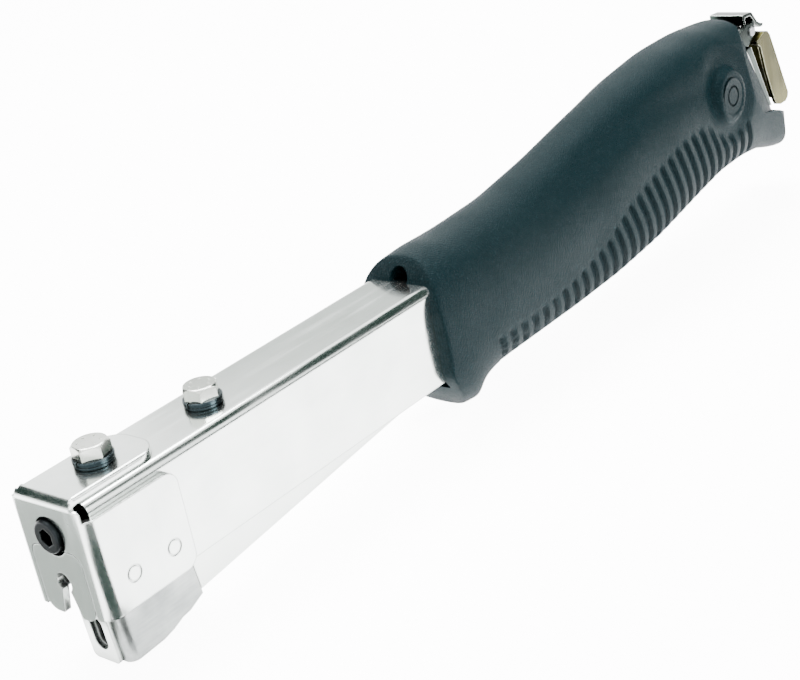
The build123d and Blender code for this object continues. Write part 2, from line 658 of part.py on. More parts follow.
def make_grip():
    body = loft([grip_section(*station) for station in GRIP_STATIONS])
    # slanted, rounded butt with the pommel left standing below it
    body -= butt_trim()
    body -= pommel_trim()
    for side in (-1, 1):
        y0, y1 = sorted((side * HALF, side * BOSS_REACH))
        body += bar_y(PIVOT_X, y0, y1, PIVOT_Z, BOSS_RADIUS)
    # collar's front face leans back below the casing
    body -= upright([(100, -30), (GRIP_FRONT + 11, -30), (GRIP_FRONT + 6.5, -9.5),
                     (GRIP_FRONT + 1.2, -1), (GRIP_FRONT + 0.6, 20), (GRIP_FRONT + 5.5, 34),
                     (GRIP_FRONT + 5.5, 60), (100, 60)], 40)
    body -= make_tunnel()
    pocket = slab(GRIP_FRONT - 2, GRIP_FRONT + 12, -4.2, 4.2, 25, 28.6)
    pocket += bar_x(GRIP_FRONT - 2, GRIP_FRONT + 12, 0, 28.6, 2.6)
    body -= pocket
    body -= bar_y(PIVOT_X, -HALF - 8, HALF + 8, PIVOT_Z, PIVOT_PIN_RADIUS + 0.02)
    for side in (-1, 1):
        y0, y1 = sorted((side * (HALF + 2.4), side * 30))
        body -= bar_y(PIVOT_X, y0, y1, PIVOT_Z, CAP_DISC_RADIUS + 0.05)
    for x, z in GRIP_RIVETS:
        body -= bar_y(x, -HALF - 2.1, HALF + 2.1, z, GRIP_RIVET_RADIUS + 0.02)
    body -= slab(CATCH_BAY_X, 330, -CATCH_HALF - 2.2, CATCH_HALF + 2.2, 36, 60)
    # room under the yoke for the end of a blow
    body -= upright([(303, 40), (303, 12), (312, 10), (330, 9.2), (330, 40)], YOKE_HALF + 0.7)
    return body


def make_pivot_caps():
    caps = []
    for side in (-1, 1):
        y0, y1 = sorted((side * (HALF + CAP_DISC_BACK), side * (HALF + CAP_DISC_FACE)))
        disc = bar_y(PIVOT_X, y0, y1, PIVOT_Z, CAP_DISC_RADIUS)
        y0, y1 = sorted((side * (HALF + CAP_DISC_FACE - 0.5), side * (HALF + 6)))
        groove = bar_y(PIVOT_X, y0, y1, PIVOT_Z, 3.4) - bar_y(PIVOT_X, y0 - 1, y1 + 1, PIVOT_Z, 2.7)
        caps.append(disc - groove)
    return caps


def make_pivot_pin():
    return bar_y(PIVOT_X, -HALF - 2.3, HALF + 2.3, PIVOT_Z, PIVOT_PIN_RADIUS)


def make_grip_rivets():
    return [bar_y(x, -HALF - 2.0, HALF + 2.0, z, GRIP_RIVET_RADIUS) for x, z in GRIP_RIVETS]


# ---------------------------------------------------------------- butt
def make_rear_bracket():
    """Folded bracket nested in the casing's rear end; its ears carry the catch pin."""
    wall = YOKE_PLATE
    out = INNER_HALF - 0.05
    front, foot, roof = BRACKET_FRONT, BRACKET_FOOT, CASING_WALL + 0.12
    body = upright([(front, foot), (340, foot), (340, casing_top(340) - roof),
                    (front, casing_top(front) - roof)], out)
    body -= upright([(front - 6, 10), (345, 10), (345, casing_top(345) - roof - wall),
                     (front - 6, casing_top(front - 6) - roof - wall)], out - wall)
    body -= behind(BRACKET_END)
    for side in (-1, 1):
        middle = side * (CATCH_HALF + 0.3 + wall / 2)
        body += upright([(296.2, 37.4), (301.0, 37.4), (307.8, 41.0), (307.6, 44.9), (303.0, 45.2),
                         (296.2, 43.4)], wall / 2, middle)
    body -= bar_y(CATCH_PIN_X, -12, 12, CATCH_PIN_Z, CATCH_PIN_RADIUS + 0.02)
    for x, z in BRACKET_RIVETS:
        body -= bar_y(x, -HALF - 1, HALF + 1, z, BRACKET_RIVET_RADIUS + 0.02)
    return body


def make_bracket_rivets():
    rivets = []
    for x, z in BRACKET_RIVETS:
        for side in (-1, 1):
            y0, y1 = sorted((side * (INNER_HALF - YOKE_PLATE - 0.5), side * HALF))
            rivets.append(bar_y(x, y0, y1, z, BRACKET_RIVET_RADIUS))
    return rivets


def make_loader_yoke():
    """Folded pull at the butt: a rear plate, a flange down each side and a lip on top."""
    yoke = upright(YOKE_SIDE, YOKE_HALF)
    yoke -= upright(YOKE_HOLLOW, YOKE_HALF - YOKE_PLATE)
    return yoke - lay(bar_x(200, 330, 0, ROD_HEIGHT, ROD_RADIUS + 0.02))


def make_catch_pin():
    reach = CATCH_HALF + 0.3 + YOKE_PLATE + 0.6
    return bar_y(CATCH_PIN_X, -reach, reach, CATCH_PIN_Z, CATCH_PIN_RADIUS)


def make_catch():
    """Thumb catch: a folded strip that rocks on its pin and reaches over the yoke's top."""
    sheet = CATCH_SHEET
    x, z = CATCH_PIN_X, CATCH_PIN_Z
    path = [(x - 0.6, z + 4.7), (x + 3.2, z + 4.5), (x + 6.4, z + 0.6), (x + 8.8, z - 1.0), (x + 10.6, z - 1.0)]
    upper = [(x + 11.0, z - 0.1), (x + 9.4, z + 0.3), (x + 7.3, z + 1.4), (x + 4.4, z + 5.1),
             (x + 3.7, z + 5.6), (x - 0.6, z + 5.9)]
    strip = upright(path + upper, CATCH_HALF)
    strip += upright([(x - 1.6, z + 5.9), (x - 1.6, z + 2.4), (x - 0.5, z + 2.4), (x - 0.5, z + 5.9)],
                     CATCH_HALF)
    for side in (-1, 1):
        middle = side * (CATCH_HALF - sheet / 2)
        strip += upright([(x - 2.2, z - 2.0), (x + 2.0, z - 2.0), (x + 4.6, z + 0.4), (x + 4.6, z + 2.4),
                          (x + 1.0, z + 2.2), (x - 1.6, z + 2.6)], sheet / 2, middle)
    strip -= bar_y(x, -12, 12, z, CATCH_PIN_RADIUS + 0.05)
    return strip


def make_catch_spring():
    """Small torsion spring on the catch pin, drawn as its closed coil."""
    wire, radius = 0.6, 1.9
    path = Helix(pitch=0.7, height=6.0, radius=radius)
    section = Plane(origin=path @ 0, z_dir=path % 0) * Circle(wire / 2)
    coil = sweep(section, path=path)
    return Pos(CATCH_PIN_X, 3.0, CATCH_PIN_Z) * Rot(90, 0, 0) * coil


# ---------------------------------------------------------------- assembly
def make_all():
    return {
        "casing": [make_casing()],
        "head_cap": [make_head_cap()],
        "front_guide": [make_front_guide()],
        "front_screw": [make_front_screw()],
        "driver_block": [make_driver_block()],
        "driver_blade": [make_blade()],
        "hex_bolts": [make_bolt(0), make_bolt(1)],
        "lock_washers": [make_washer(0, True), make_washer(1, True)],
        "flat_washers": [make_washer(0, False), make_washer(1, False)],
        "anchor_nut": [make_anchor_nut()],
        "stop_buffer": [make_buffer()],
        "spring_cup": [make_spring_cup()],
        "return_spring": [make_return_spring()],
        "nose_shoe": [make_nose_shoe()],
        "nose_tongue": [make_nose_tongue()],
        "tongue_rivet": make_tongue_rivets(),
        "magazine_channel": [make_magazine_channel()],
        "staple_rail": [make_staple_rail()],
        "spring_perch": [make_spring_perch()],
        "pusher": [make_pusher()],
        "pusher_spring": [make_pusher_spring()],
        "guide_rod": [make_guide_rod()],
        "loader_yoke": [make_loader_yoke()],
        "grip": [make_grip()],
        "grip_rivets": make_grip_rivets(),
        "pivot_pin": [make_pivot_pin()],
        "pivot_caps": make_pivot_caps(),
        "rear_bracket": [make_rear_bracket()],
        "bracket_rivets": make_bracket_rivets(),
        "catch_pin": [make_catch_pin()],
        "catch": [make_catch()],
        "catch_spring": [make_catch_spring()],
    }


def solids_of(shapes):
    found = []
    for shape in shapes:
        found.extend(shape.solids())
    return found


def main():
    nodes = {name: solids_of(shapes) for name, shapes in make_all().items()}
    boxes = [solid.bounding_box() for solids in nodes.values() for solid in solids]
    low_x = min(box.min.X for box in boxes)
    high_x = max(box.max.X for box in boxes)
    low_z = min(box.min.Z for box in boxes)
    shift = Pos(-(low_x + high_x) / 2, 0, -low_z)
    os.makedirs("parts", exist_ok=True)
    for name, solids in nodes.items():
        moved = [shift * solid for solid in solids]
        piece = moved[0] if len(moved) == 1 else Compound(moved)
        export_step(piece, f"parts/{name}.step")
    print("moved by", shift.position, "length", high_x - low_x)


main()
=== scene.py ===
# Looks of the hammer tacker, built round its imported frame.
import math

import bpy
from mathutils import Matrix, Vector


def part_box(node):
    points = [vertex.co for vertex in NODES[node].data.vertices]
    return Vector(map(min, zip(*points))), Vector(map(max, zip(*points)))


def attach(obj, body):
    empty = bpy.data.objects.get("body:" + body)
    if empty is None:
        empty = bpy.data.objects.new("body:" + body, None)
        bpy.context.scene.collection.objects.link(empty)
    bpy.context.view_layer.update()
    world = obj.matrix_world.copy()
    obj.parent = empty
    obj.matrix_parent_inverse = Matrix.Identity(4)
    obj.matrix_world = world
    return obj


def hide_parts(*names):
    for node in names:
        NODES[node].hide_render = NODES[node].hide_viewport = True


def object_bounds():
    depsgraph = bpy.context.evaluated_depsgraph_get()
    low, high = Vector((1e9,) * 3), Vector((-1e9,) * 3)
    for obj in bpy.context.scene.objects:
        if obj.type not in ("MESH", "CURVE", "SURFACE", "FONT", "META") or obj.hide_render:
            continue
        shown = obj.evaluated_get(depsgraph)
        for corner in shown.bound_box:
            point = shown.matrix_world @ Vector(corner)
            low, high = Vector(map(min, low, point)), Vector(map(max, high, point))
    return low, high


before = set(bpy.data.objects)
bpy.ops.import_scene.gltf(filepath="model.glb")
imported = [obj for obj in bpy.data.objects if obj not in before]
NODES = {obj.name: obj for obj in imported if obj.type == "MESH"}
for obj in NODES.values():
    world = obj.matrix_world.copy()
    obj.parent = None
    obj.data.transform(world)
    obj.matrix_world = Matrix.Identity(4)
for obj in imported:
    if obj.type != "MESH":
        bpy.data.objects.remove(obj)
cad_low, cad_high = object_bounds()

# ---------------------------------------------------------------- places
# Shapes below are drawn in millimetres from the head's front face and the casing's lower edge.
MM = 0.001
HEAD_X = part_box("head_cap")[0].x
CASING_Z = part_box("casing")[0].z


def at(x, y, z):
    """Point of the row frame, from millimetres on the tool."""
    return Vector((HEAD_X + x * MM, y * MM, CASING_Z + z * MM))


def ramp(value, low, high):
    """Smooth step from 0 at low to 1 at high."""
    share = min(1.0, max(0.0, (value - low) / (high - low)))
    return share * share * (3 - 2 * share)


def along(points, x):
    """Height at x of the straight lines that join (x, z) points."""
    if x <= points[0][0]:
        return points[0][1]
    for (x0, z0), (x1, z1) in zip(points, points[1:]):
        if x <= x1:
            return z0 + (z1 - z0) * (x - x0) / (x1 - x0)
    return points[-1][1]


# ---------------------------------------------------------------- modelling
def deselect():
    """Back to object mode with nothing selected."""
    if bpy.context.mode != "OBJECT":
        bpy.ops.object.mode_set(mode="OBJECT")
    bpy.ops.object.select_all(action="DESELECT")


def only(obj):
    """Selects one object and makes it active."""
    deselect()
    obj.select_set(True)
    bpy.context.view_layer.objects.active = obj


def named(name):
    """Names the primitive just added and puts its place into its mesh."""
    obj = bpy.context.active_object
    obj.name = obj.data.name = name
    only(obj)
    bpy.ops.object.transform_apply(location=True, rotation=True, scale=True)
    return obj


def apply(obj, kind, **settings):
    """Adds a modifier to the object and applies it."""
    only(obj)
    modifier = obj.modifiers.new(kind.lower(), kind)
    for key, value in settings.items():
        setattr(modifier, key, value)
    bpy.ops.object.modifier_apply(modifier=modifier.name)


def prism(name, outline, y0, y1):
    """Side outline in millimetres (x, z), drawn out from y0 to y1."""
    deselect()
    bpy.ops.mesh.primitive_circle_add(vertices=len(outline), radius=1, fill_type="NGON")
    obj = named(name)
    for vertex, (x, z) in zip(obj.data.vertices, outline):
        vertex.co = at(x, y0, z)
    bpy.ops.object.mode_set(mode="EDIT")
    bpy.ops.mesh.select_all(action="SELECT")
    bpy.ops.mesh.extrude_region_move(TRANSFORM_OT_translate={"value": (0, (y1 - y0) * MM, 0)})
    bpy.ops.mesh.select_all(action="SELECT")
    bpy.ops.mesh.normals_make_consistent(inside=False)
    bpy.ops.object.mode_set(mode="OBJECT")
    return obj


def plan_prism(name, outline, z0, z1, lean):
    """Plan outline in millimetres (x, y) at z0, drawn up to z1 and leaning by lean per millimetre."""
    deselect()
    bpy.ops.mesh.primitive_circle_add(vertices=len(outline), radius=1, fill_type="NGON")
    obj = named(name)
    for vertex, (x, y) in zip(obj.data.vertices, outline):
        vertex.co = at(x, y, z0)
    rise = (z1 - z0) * MM
    bpy.ops.object.mode_set(mode="EDIT")
    bpy.ops.mesh.select_all(action="SELECT")
    bpy.ops.mesh.extrude_region_move(TRANSFORM_OT_translate={"value": (lean * rise, 0, rise)})
    bpy.ops.mesh.select_all(action="SELECT")
    bpy.ops.mesh.normals_make_consistent(inside=False)
    bpy.ops.object.mode_set(mode="OBJECT")
    return obj


def rod(name, start, end, radius, sides=48):
    """Round bar between two points given in millimetres."""
    a, b = at(*start), at(*end)
    turn = (b - a).to_track_quat("Z", "Y").to_euler()
    deselect()
    bpy.ops.mesh.primitive_cylinder_add(vertices=sides, radius=radius * MM, depth=(b - a).length,
                                        location=(a + b) / 2, rotation=turn)
    return named(name)


def cut(obj, *tools):
    """Takes the tools away from the piece, one after the other."""
    for tool in tools:
        apply(obj, "BOOLEAN", operation="DIFFERENCE", solver="EXACT", object=tool)
        bpy.data.objects.remove(tool)


# ---------------------------------------------------------------- grip
# Side outlines of the grip, (x, z), and its half width, (x, y).
GRIP_FRONT = 121.5
GRIP_REAR = 322.6
GRIP_CROWN = [(121.5, 33.8), (130, 34.4), (139, 34.0), (149, 34.0), (168, 35.0), (190, 38.6), (212, 43.2),
              (236, 47.8), (258, 50.6), (276, 51.0), (292, 49.9), (306, 47.6), (315, 44.6), (322, 41.0)]
GRIP_KEEL = [(121.5, -13.2), (130, -14.6), (139, -10.6), (149, -8.5), (168, -8.4), (190, -8.3), (212, -7.6),
             (236, -5.2), (258, -1.2), (276, 1.8), (292, 2.2), (306, 0.8), (315, -2.2), (322, -3.6)]
GRIP_HALF = [(121.5, 15.0), (130, 15.3), (139, 15.3), (149, 15.3), (168, 15.2), (190, 15.3), (212, 15.8),
             (236, 16.1), (258, 16.0), (276, 15.8), (292, 15.4), (306, 14.9), (315, 14.6), (322, 14.0)]
# Half outlines of the grip's rear seen from above, (x, y); the upper one is drawn at BUTT_LEVEL.
BUTT_PLAN = [(272.0, 17.5), (282.0, 15.8), (290.0, 13.6), (295.5, 11.0), (301.0, 7.6), (305.5, 3.6),
             (307.2, 0.0)]
BUTT_LEVEL = 37.8
POMMEL_PLAN = [(280.0, 18.0), (298.0, 16.2), (307.0, 14.8), (313.5, 12.6), (318.6, 8.2), (321.2, 0.0)]
# Side line, (x, z), below which only the pommel's outline trims the rear.
POMMEL_TOP = [(240.0, 20.0), (298.0, 17.0), (307.0, 14.9), (313.8, 12.1), (323.0, 9.0)]
# Rings of the skin: they cross LEVEL_Z, and lean from upright at the collar to the grooves' slant.
FRONT_LEAN = 0.02
REAR_LEAN = 0.527
LEAN_FROM, LEAN_TO = 124, 172
RING_STEP = 2.65
RING_INSET = 0.9
RING_SIDES = 44
LEVEL_Z = 12.0
SQUARENESS = 2.5
SMOOTH_REACH = 3.5
# Rounded front lip: how far a ring stands before the first one, and how much smaller it is.
FRONT_LIP = [(0.75, 0.9), (0.25, 0.25)]
# Rounded rear end: how far a ring stands past the last one, and its share of the last one's size.
REAR_END = [(2.0, 0.97, 0.96), (3.5, 0.90, 0.86), (4.1, 0.74, 0.66)]
# Collar's front edge: leans back above TOP_FROM and below GUARD_FROM.
COLLAR_NEAR, COLLAR_FAR = 124, 146
TOP_FROM, TOP_SPAN, TOP_LEAN = 19, 15, 5.0
GUARD_FROM, GUARD_SPAN, GUARD_LEAN = 2, 14, 9.5
# Grooves across the grip, and the line (x, z) at which they end on the sides.
GROOVE_PITCH = 5.3
GROOVE_HALF = 1.15
GROOVE_EDGE = 0.45
GROOVE_DEPTH = 1.25
GROOVE_FADE = 3.0
KEEL_FADE = (-0.86, -0.62)
GROOVE_FIRST = 139.5
GROOVE_LAST = 291.0
GROOVE_TOP = [(143, 5), (167, 5), (183, 7), (198, 11), (211, 18), (227, 23), (242, 27), (258, 27), (266, 22),
              (272, 18.5), (280, 18), (287, 20), (292, 24)]
# Long shallow valley under the crown, and the swell that runs below it.
VALLEY = [(124, 33), (150, 29), (178, 30), (200, 35), (223, 39.5), (252, 38), (268, 34)]
VALLEY_RUN = (150, 200, 262, 274)
VALLEY_SIDE = (4.0, 10.0)
VALLEY_HALF = 4.2
VALLEY_DEPTH = 0.95
SWELL_RUN = (140, 170, 240, 262)
SWELL_SIDE = (8.0, 13.0)
SWELL_BELOW = 13.0
SWELL_HALF = 7.0
SWELL_HEIGHT = 0.5
# Pivot boss: a raised ring in a dished round, with a seat for the cap on each side.
BOSS_X, BOSS_Z = 275.5, 30.0
BOSS_SIDE = (5, 9)
BOSS_RING = 7.0
BOSS_RING_FADE = (0.5, 2.0)
DISH_INNER = (7.5, 9.5)
DISH_OUTER = (10.5, 16.0)
BOSS_RING_HEIGHT = 0.8
BOSS_DISH_DEPTH = 1.4
CAP_RADIUS = 5.75
CAP_SEAT_Y = 13.4
# Tunnel for the casing: level up to KINK_X, then its floor and roof rise to the rear.
TUNNEL_FRONT, KINK_X, TUNNEL_REAR = 100, 142.0, 345.0
TUNNEL_FLOOR, TUNNEL_ROOF = -3.2, 26.6
FLOOR_SLOPE, ROOF_SLOPE = 0.072, 0.080
FLOOR_GAP = 1.2
TUNNEL_HALF = 10.3
# Round pocket in the collar's top, the catch's bay and the yoke's room: (x, z) outline, half width.
POCKET_Z, POCKET_REAR, POCKET_RADIUS = 28.4, 134, 3.1
BAY, BAY_HALF = [(295.5, 36), (330, 36), (330, 60), (295.5, 60)], 8.5
ROOM, ROOM_HALF = [(303, 12), (312, 10), (330, 9.2), (330, 40), (303, 40)], 9.9
# Blocks that the rear is trimmed with: they reach from the trim's front well past the grip.
BUTT_FRONT, BUTT_LOW, BUTT_HIGH = 200.0, -20.0, 90.0
BUTT_BLOCK_END = [(360.0, 9.0), (360.0, 89.0), (240.0, 89.0)]
POMMEL_FRONT, POMMEL_LOW, POMMEL_HIGH = 270.0, -50.0, 95.0
POMMEL_BLOCK = [(281, -30), (360, -30), (360, 70), (281, 70)]
BLOCK_HALF = 40
SMOOTH_ANGLE = 38


def smooth_line(points, x):
    """The same height, averaged over SMOOTH_REACH to each side so that the line has no corners."""
    return sum(along(points, x + SMOOTH_REACH * step / 3) for step in range(-3, 4)) / 7


def ring_shape(level, lean):
    """Top and bottom points of the slanted ring that crosses LEVEL_Z at level."""
    ends = []
    for line in (GRIP_CROWN, GRIP_KEEL):
        x = level
        for _ in range(12):
            x = level - lean * (smooth_line(line, x) - LEVEL_Z)
        ends.append((x, smooth_line(line, x)))
    return ends


def ring_stations():
    """Centre x and z, half lean, half width and half height of every ring, from front to rear."""
    rings = []
    for step in range(int((GRIP_REAR - GRIP_FRONT) / RING_STEP) + 1):
        level = GRIP_FRONT + RING_INSET + step * RING_STEP
        lean = FRONT_LEAN + (REAR_LEAN - FRONT_LEAN) * ramp(level, LEAN_FROM, LEAN_TO)
        (xt, zt), (xb, zb) = ring_shape(level, lean)
        middle = (xt + xb) / 2
        rings.append((middle, (zt + zb) / 2, (xb - xt) / 2, smooth_line(GRIP_HALF, middle), (zt - zb) / 2))
    x, z, lean_half, half, tall = rings[0]
    lip = [(x - before, z, lean_half, half - less, tall - less) for before, less in FRONT_LIP]
    x, z, lean_half, half, tall = rings[-1]
    end = [(x + past, z, lean_half * share, half * narrow, tall * share) for past, share, narrow in REAR_END]
    return lip + rings + end


def make_sleeve():
    """Grip's outer skin: rings drawn out one after the other, each resized to its station."""
    deselect()
    bpy.ops.mesh.primitive_circle_add(vertices=RING_SIDES, radius=1, fill_type="NGON")
    sleeve = named("grip_moulding")
    stations = ring_stations()
    power = 2 / SQUARENESS
    x, z, lean_half, half, tall = stations[0]
    for index, vertex in enumerate(sleeve.data.vertices):
        turn = 2 * math.pi * index / RING_SIDES
        c, s = math.cos(turn), math.sin(turn)
        across = math.copysign(abs(c) ** power, c)
        up = math.copysign(abs(s) ** power, s)
        vertex.co = at(x - up * lean_half, across * half, z + up * tall)
    bpy.ops.object.mode_set(mode="EDIT")
    bpy.ops.mesh.select_all(action="SELECT")
    bpy.ops.mesh.extrude_region_move()
    for old, new in zip(stations, stations[1:]):
        shift = at(new[0], 0, new[1]) - at(old[0], 0, old[1])
        bpy.ops.transform.translate(value=shift)
        bpy.ops.transform.resize(value=(new[2] / old[2], new[3] / old[3], new[4] / old[4]),
                                 center_override=at(new[0], 0, new[1]))
        if new is not stations[-1]:
            bpy.ops.mesh.extrude_region_move()
    bpy.ops.mesh.select_all(action="SELECT")
    bpy.ops.mesh.normals_make_consistent(inside=False)
    bpy.ops.object.mode_set(mode="OBJECT")
    apply(sleeve, "SUBSURF", levels=2, render_levels=2)
    return sleeve


def tool_place(co):
    """Millimetres on the tool, from a point of the row frame."""
    return (co.x - HEAD_X) / MM, co.y / MM, (co.z - CASING_Z) / MM


def sweep_collar(sleeve):
    """Leans the collar's front back towards its top and its finger guard."""
    for vertex in sleeve.data.vertices:
        x, _, z = tool_place(vertex.co)
        near = 1 - ramp(x, COLLAR_NEAR, COLLAR_FAR)
        top = max(0.0, (z - TOP_FROM) / TOP_SPAN) ** 2 * TOP_LEAN
        guard = max(0.0, (GUARD_FROM - z) / GUARD_SPAN) ** 1.3 * GUARD_LEAN
        vertex.co.x += near * (top + guard) * MM


def press_in(sleeve, name, depth, weight):
    """Moves the skin along its normals by depth times weight(x, y, z, normal)."""
    group = sleeve.vertex_groups.new(name=name)
    for vertex in sleeve.data.vertices:
        amount = weight(*tool_place(vertex.co), vertex.normal)
        if amount > 0.001:
            group.add([vertex.index], amount, "REPLACE")
    apply(sleeve, "DISPLACE", direction="NORMAL", mid_level=0.0, strength=depth * MM, vertex_group=name)
    sleeve.vertex_groups.clear()


def band(off, half, x, run):
    """1 on the middle line of a soft band, which fades in and out along x where run says."""
    start, full, fading, end = run
    return math.exp(-((off / half) ** 2)) * ramp(x, start, full) * (1 - ramp(x, fading, end))


def valley_weight(x, y, z, _normal):
    return ramp(abs(y), *VALLEY_SIDE) * band(z - along(VALLEY, x), VALLEY_HALF, x, VALLEY_RUN)


def swell_weight(x, y, z, _normal):
    off = z - (along(VALLEY, x) - SWELL_BELOW)
    return ramp(abs(y), *SWELL_SIDE) * band(off, SWELL_HALF, x, SWELL_RUN)


def groove_weight(x, _y, z, normal):
    """1 on a groove's floor, on the sides below GROOVE_TOP but not under the keel."""
    level = x + REAR_LEAN * (z - LEVEL_Z)
    if not GROOVE_FIRST - 2 < level < GROOVE_LAST + 2:
        return 0.0
    index = round((level - GROOVE_FIRST) / GROOVE_PITCH)
    off = abs(level - GROOVE_FIRST - index * GROOVE_PITCH)
    centre = GROOVE_FIRST + index * GROOVE_PITCH
    if centre > GROOVE_LAST:
        return 0.0
    wall = 1 - ramp(off, GROOVE_HALF - GROOVE_EDGE, GROOVE_HALF + GROOVE_EDGE)
    end = ramp(along(GROOVE_TOP, x) - z, 0.0, GROOVE_FADE)
    keel = ramp(normal.z, *KEEL_FADE)
    return wall * end * keel


def boss_ring_weight(x, y, z, _normal):
    r = math.hypot(x - BOSS_X, z - BOSS_Z)
    return ramp(abs(y), *BOSS_SIDE) * (1 - ramp(abs(r - BOSS_RING), *BOSS_RING_FADE))


def boss_dish_weight(x, y, z, _normal):
    r = math.hypot(x - BOSS_X, (z - BOSS_Z) * 0.9)
    return ramp(abs(y), *BOSS_SIDE) * ramp(r, *DISH_INNER) * (1 - ramp(r, *DISH_OUTER))


def casing_tunnel():
    """Room for the casing, which the grip is pushed over."""
    run = TUNNEL_REAR - KINK_X
    outline = [(TUNNEL_FRONT, TUNNEL_FLOOR), (KINK_X + 4, TUNNEL_FLOOR),
               (KINK_X + 22, 22 * FLOOR_SLOPE - FLOOR_GAP), (TUNNEL_REAR, run * FLOOR_SLOPE - FLOOR_GAP),
               (TUNNEL_REAR, TUNNEL_ROOF + run * ROOF_SLOPE), (KINK_X, TUNNEL_ROOF),
               (TUNNEL_FRONT, TUNNEL_ROOF)]
    return prism("tunnel", outline, -TUNNEL_HALF, TUNNEL_HALF)


def cap_seat(side):
    """Round seat for a pivot cap, on the side that side's sign gives."""
    return rod("cap_seat", (BOSS_X, side * CAP_SEAT_Y, BOSS_Z), (BOSS_X, side * 30, BOSS_Z), CAP_RADIUS, 64)


def make_grip():
    grip = make_sleeve()
    sweep_collar(grip)
    press_in(grip, "swell", SWELL_HEIGHT, swell_weight)
    press_in(grip, "valley", -VALLEY_DEPTH, valley_weight)
    press_in(grip, "boss_dish", -BOSS_DISH_DEPTH, boss_dish_weight)
    press_in(grip, "boss_ring", BOSS_RING_HEIGHT, boss_ring_weight)
    press_in(grip, "grooves", -GROOVE_DEPTH, groove_weight)
    cut_butt(grip)
    tunnel = casing_tunnel()
    pocket = rod("pocket", (TUNNEL_FRONT, 0, POCKET_Z), (POCKET_REAR, 0, POCKET_Z), POCKET_RADIUS)
    bay = prism("bay", BAY, -BAY_HALF, BAY_HALF)
    room = prism("room", ROOM, -ROOM_HALF, ROOM_HALF)
    left = cap_seat(-1)
    right = cap_seat(1)
    cut(grip, tunnel, pocket, bay, room, left, right)
    only(grip)
    bpy.ops.object.shade_smooth_by_angle(angle=math.radians(SMOOTH_ANGLE))
    return grip


def round_plan(half, front):
    """Closed plan outline: a smooth curve through half's points and its mirror image."""
    padded = [half[0]] + half + [(half[-2][0], -half[-2][1])]
    curve = []
    for p0, p1, p2, p3 in zip(padded, padded[1:], padded[2:], padded[3:]):
        for step in range(6):
            t = step / 6
            curve.append(tuple(0.5 * (2 * b + (c - a) * t + (2 * a - 5 * b + 4 * c - d) * t * t
                                      + (3 * b - a - 3 * c + d) * t ** 3)
                               for a, b, c, d in zip(p0, p1, p2, p3)))
    tip = half[-1]
    start = half[0][1]
    return [(front, start)] + curve + [tip] + [(x, -y) for x, y in reversed(curve)] + [(front, -start)]


def cut_butt(grip):
    """Trims the grip's rear to a rounded, slanted outline with the pommel standing out below it."""
    shift = (BUTT_LEVEL - BUTT_LOW) * REAR_LEAN
    outline = [(x + shift, y) for x, y in round_plan(BUTT_PLAN, BUTT_FRONT)]
    kept = plan_prism("kept", outline, BUTT_LOW, BUTT_HIGH, -REAR_LEAN)
    block = prism("block", POMMEL_TOP + BUTT_BLOCK_END, -BLOCK_HALF, BLOCK_HALF)
    cut(block, kept)
    cut(grip, block)
    kept = plan_prism("kept", round_plan(POMMEL_PLAN, POMMEL_FRONT), POMMEL_LOW, POMMEL_HIGH, 0.0)
    block = prism("block", POMMEL_BLOCK, -BLOCK_HALF, BLOCK_HALF)
    cut(block, kept)
    cut(grip, block)


# ---------------------------------------------------------------- finishes
class Finish:
    """One material being wired: a Principled shader and short ways to add nodes."""

    def __init__(self, name, **sockets):
        self.material = bpy.data.materials.new(name)
        self.material.use_nodes = True
        self.tree = self.material.node_tree
        self.shader = self.tree.nodes["Principled BSDF"]
        for socket, value in sockets.items():
            self.shader.inputs[socket.replace("_", " ")].default_value = value
        self.coords = self.add("ShaderNodeTexCoord")

    def add(self, kind, **settings):
        node = self.tree.nodes.new(kind)
        for key, value in settings.items():
            setattr(node, key, value)
        return node

    def link(self, out, into):
        self.tree.links.new(out, into)

    def stretched(self, scale, turn=(0, 0, 0)):
        """Object coordinates with their own scale on each axis."""
        mapping = self.add("ShaderNodeMapping")
        mapping.inputs["Scale"].default_value = scale
        mapping.inputs["Rotation"].default_value = turn
        self.link(self.coords.outputs["Object"], mapping.inputs["Vector"])
        return mapping.outputs["Vector"]

    def group(self, tree, **values):
        node = self.add("ShaderNodeGroup", node_tree=tree)
        for socket, value in values.items():
            target = node.inputs[socket.replace("_", " ")]
            if isinstance(value, bpy.types.NodeSocket):
                self.link(value, target)
            else:
                target.default_value = value
        return node

    def mix(self, factor, low, high):
        node = self.add("ShaderNodeMix", data_type="RGBA")
        for socket, value in ((node.inputs[0], factor), (node.inputs[6], low), (node.inputs[7], high)):
            if isinstance(value, bpy.types.NodeSocket):
                self.link(value, socket)
            else:
                socket.default_value = value
        return node.outputs[2]

    def spread(self, value, low, high, from_low=0.0, from_high=1.0):
        node = self.add("ShaderNodeMapRange")
        node.inputs["From Min"].default_value = from_low
        node.inputs["From Max"].default_value = from_high
        node.inputs["To Min"].default_value = low
        node.inputs["To Max"].default_value = high
        self.link(value, node.inputs["Value"])
        return node.outputs["Result"]

    def bump(self, height, strength, distance, normal=None):
        node = self.add("ShaderNodeBump")
        node.inputs["Strength"].default_value = strength
        node.inputs["Distance"].default_value = distance
        self.link(height, node.inputs["Height"])
        if normal is not None:
            self.link(normal, node.inputs["Normal"])
        return node.outputs["Normal"]


def new_group(name, inputs, outputs):
    tree = bpy.data.node_groups.new(name, "ShaderNodeTree")
    for label, kind, value in inputs:
        socket = tree.interface.new_socket(name=label, in_out="INPUT", socket_type=kind)
        if value is not None:
            socket.default_value = value
    for label, kind in outputs:
        tree.interface.new_socket(name=label, in_out="OUTPUT", socket_type=kind)
    start = tree.nodes.new("NodeGroupInput")
    end = tree.nodes.new("NodeGroupOutput")
    return tree, start, end


